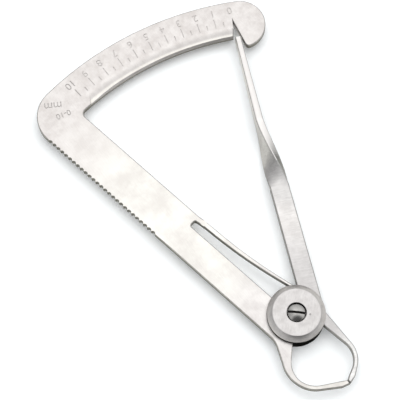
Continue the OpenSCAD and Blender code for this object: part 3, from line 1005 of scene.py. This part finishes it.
def turnedBlank(node, name, sides, finish):  # a plain cylinder as big as the node
    low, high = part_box(node)
    bpy.ops.object.select_all(action="DESELECT")
    bpy.ops.mesh.primitive_cylinder_add(
        vertices=sides, radius=high.x, depth=high.z - low.z, location=(0, 0, (low.z + high.z) / 2)
    )
    blank = bpy.context.object
    blank.name = blank.data.name = name
    blank.data.materials.append(finish)
    bpy.ops.object.transform_apply(location=True, rotation=True, scale=True)
    return blank, low.z, high.z


def atHeight(corner, height):
    return abs(corner.co.z - height) < limits["same"]


def selectFlat(piece, height, radius=None):  # the faces at a height, or the ring of edges at a radius
    mesh = editMesh(piece)
    bpy.ops.mesh.select_mode(type="FACE" if radius is None else "EDGE")
    for part in mesh.faces if radius is None else mesh.edges:
        level = all(atHeight(v, height) for v in part.verts)
        ring = radius is None or all(abs(v.co.xy.length - radius) < limits["ring"] for v in part.verts)
        part.select_set(level and ring)
    bmesh.update_edit_mesh(piece.data)


def sink(depth):
    bpy.ops.mesh.extrude_region_move(TRANSFORM_OT_translate={"value": (0, 0, -depth)})


def chamferRing(piece, height, radius, width, steps, mark="edgeMark"):
    selectFlat(piece, height, radius)
    bpy.ops.mesh.bevel(offset=width, segments=steps, affect="EDGES", clamp_overlap=False)
    if mark:
        markSelected(piece, mark)
    endEdit()


disc = {
    "chamfer": 1.14 * mm,
    "recessR": 2.15 * mm,
    "seat": 1.2 * mm,
    "boreR": 1.3 * mm,
    "rim": 0.07 * mm,
    "rimSteps": 2,
    "stakeR": 0.22 * mm,
    "stakeDepth": 0.2 * mm,
    "stakeOver": 1.5,  # the stake's cutter is this many times as large, and stands out of the disc
    "stakeSides": 24,
    "stakeAt": 2.9 * mm,
    "stakeDir": -57,
    "sides": 160,
    "smoothTo": 32,
    "flatFrom": 0.999,
}
frontDisc, discLow, discHigh = turnedBlank("front_disc", "frontDisc", disc["sides"], discSteel)
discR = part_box("front_disc")[1].x
chamferRing(frontDisc, discHigh, discR, disc["chamfer"], 1, None)
selectFlat(frontDisc, discHigh)
bpy.ops.mesh.inset(thickness=discR - disc["chamfer"] - disc["recessR"])
sink(discHigh - discLow - disc["seat"])
bpy.ops.mesh.inset(thickness=disc["recessR"] - disc["boreR"])
bpy.ops.mesh.delete(type="FACE")
selectFlat(frontDisc, discLow)
bpy.ops.mesh.inset(thickness=discR - disc["boreR"])
bpy.ops.mesh.delete(type="FACE")
selectEdges(frontDisc, lambda edge: edge.is_boundary)
bpy.ops.mesh.bridge_edge_loops()
endEdit()
chamferRing(frontDisc, discHigh, discR - disc["chamfer"], disc["rim"], disc["rimSteps"])
chamferRing(frontDisc, discHigh - disc["chamfer"], discR, disc["rim"], disc["rimSteps"])
chamferRing(frontDisc, discHigh, disc["recessR"], disc["rim"], disc["rimSteps"])
chamferRing(frontDisc, discLow, discR, disc["rim"], disc["rimSteps"])
stakeTurn = math.radians(disc["stakeDir"])
bpy.ops.object.select_all(action="DESELECT")
bpy.ops.mesh.primitive_cone_add(
    vertices=disc["stakeSides"], radius1=0,
    radius2=disc["stakeR"] * disc["stakeOver"], depth=disc["stakeDepth"] * disc["stakeOver"],
    location=(
        disc["stakeAt"] * math.cos(stakeTurn), disc["stakeAt"] * math.sin(stakeTurn),
        discHigh - disc["stakeDepth"] * (1 - disc["stakeOver"] / 2),
    ),
)
cutAway(frontDisc, bpy.context.object)
shadeByAngle(frontDisc, disc["smoothTo"])
flatFaces(frontDisc, disc["flatFrom"])
# the disc's steep walls take its near-black painted shade
stand(frontDisc, "front_disc", "frame")
print("front disc:", len(frontDisc.data.polygons), "faces")

back = {
    "chamfer": 0.5 * mm,
    "chamferSteps": 3,
    "rim": 0.07 * mm,
    "boreR": 1.25 * mm,
    "bore": 1.5 * mm,
    "darkFrom": -0.5,  # all but the underside takes the near-black painted shadow of the walls
}
backDisc, backLow, backHigh = turnedBlank("back_disc", "backDisc", disc["sides"], discSteel)
chamferRing(backDisc, backLow, discR, back["chamfer"], back["chamferSteps"], None)
chamferRing(backDisc, backHigh, discR, back["rim"], disc["rimSteps"], None)
selectFlat(backDisc, backHigh)
bpy.ops.mesh.inset(thickness=discR - back["rim"] - back["boreR"])
sink(back["bore"])
endEdit()
shadeByAngle(backDisc, disc["smoothTo"])
flatFaces(backDisc, disc["flatFrom"])
stand(backDisc, "back_disc", "frame", lambda f: f.normal.z > back["darkFrom"])
print("back disc:", len(backDisc.data.polygons), "faces")

screw = {
    "headUnder": 4.95 * mm,
    "side": 0.8 * mm,
    "dome": 0.55 * mm,
    "domeFrom": 1.5,  # corners down to this many lip widths below the edge are raised too
    "rows": 9,
    "shankR": 1.25 * mm,
    "slotW": 0.46 * mm,
    "slotDepth": 0.8 * mm,
    "slotLong": 3,
    "slotDir": -54,
    "slotEdge": 0.07 * mm,
    "slotSteps": 2,
    "slotFlat": 0.99,
    "sides": 112,
    "smoothTo": 30,
}
pivotScrew, screwLow, screwHigh = turnedBlank("pivot_screw", "pivotScrew", screw["sides"], screwSteel)
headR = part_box("pivot_screw")[1].x
domeR = (headR ** 2 + screw["dome"] ** 2) / (2 * screw["dome"])
headEdge = screw["headUnder"] + screw["side"]
mesh = editMesh(pivotScrew)
for corner in mesh.verts:  # the cylinder shrinks to the head, and the shank is drawn out of it later
    corner.co.z = headEdge if corner.co.z > (screwLow + screwHigh) / 2 else screw["headUnder"]
bmesh.update_edit_mesh(pivotScrew.data)
selectFlat(pivotScrew, screw["headUnder"])
bpy.ops.mesh.inset(thickness=headR - screw["shankR"])
sink(screw["headUnder"] - screwLow)
endEdit()
chamferRing(pivotScrew, headEdge, headR, screw["slotEdge"], screw["slotSteps"])
slotTurn = math.radians(screw["slotDir"])
slotAxis = Vector((math.cos(slotTurn), math.sin(slotTurn), 0))
slotSide = Vector((-slotAxis.y, slotAxis.x, 0))
bpy.ops.object.select_all(action="DESELECT")
bpy.ops.mesh.primitive_cube_add(
    size=1, location=(0, 0, screwHigh), rotation=(0, 0, slotTurn),
    scale=(headR * screw["slotLong"], screw["slotW"], screw["slotDepth"] * 2),
)
slotCutter = bpy.context.object
bpy.ops.object.transform_apply(location=True, rotation=True, scale=True)
cutAway(pivotScrew, slotCutter)


def onLip(corner):
    off = abs(abs(corner.co.dot(slotSide)) - screw["slotW"] / 2)
    return atHeight(corner, headEdge) and off < limits["same"]


def slotLip(edge):
    return all(onLip(v) for v in edge.verts)


def screwWall(face):  # painted shade: the walls, and the floor of the slot
    return steep(face) or face.normal.z > screw["slotFlat"] and face.center.z < headEdge - screw["slotEdge"]


# the slot's lips carry a painted highlight
breakEdges(pivotScrew, slotLip, screw["slotEdge"], screw["slotSteps"], "shineMark")
for i in range(1 - screw["rows"], screw["rows"]):  # the flat head is cut into a grid along the slot
    for axis in (slotAxis, slotSide):
        selectFlat(pivotScrew, headEdge)
        bpy.ops.mesh.bisect(plane_co=axis * headR * i / screw["rows"], plane_no=axis)
mesh = editMesh(pivotScrew)
for corner in mesh.verts:  # and raised to its dome
    if corner.co.z > headEdge - screw["domeFrom"] * screw["slotEdge"]:
        rise = math.sqrt(domeR ** 2 - corner.co.xy.length_squared) - (domeR - screw["dome"])
        corner.co.z += rise
bmesh.update_edit_mesh(pivotScrew.data)
endEdit()
dropSlivers(pivotScrew)
shadeByAngle(pivotScrew, screw["smoothTo"])
stand(pivotScrew, "pivot_screw", "frame", screwWall)
print("pivot screw:", len(pivotScrew.data.polygons), "faces")
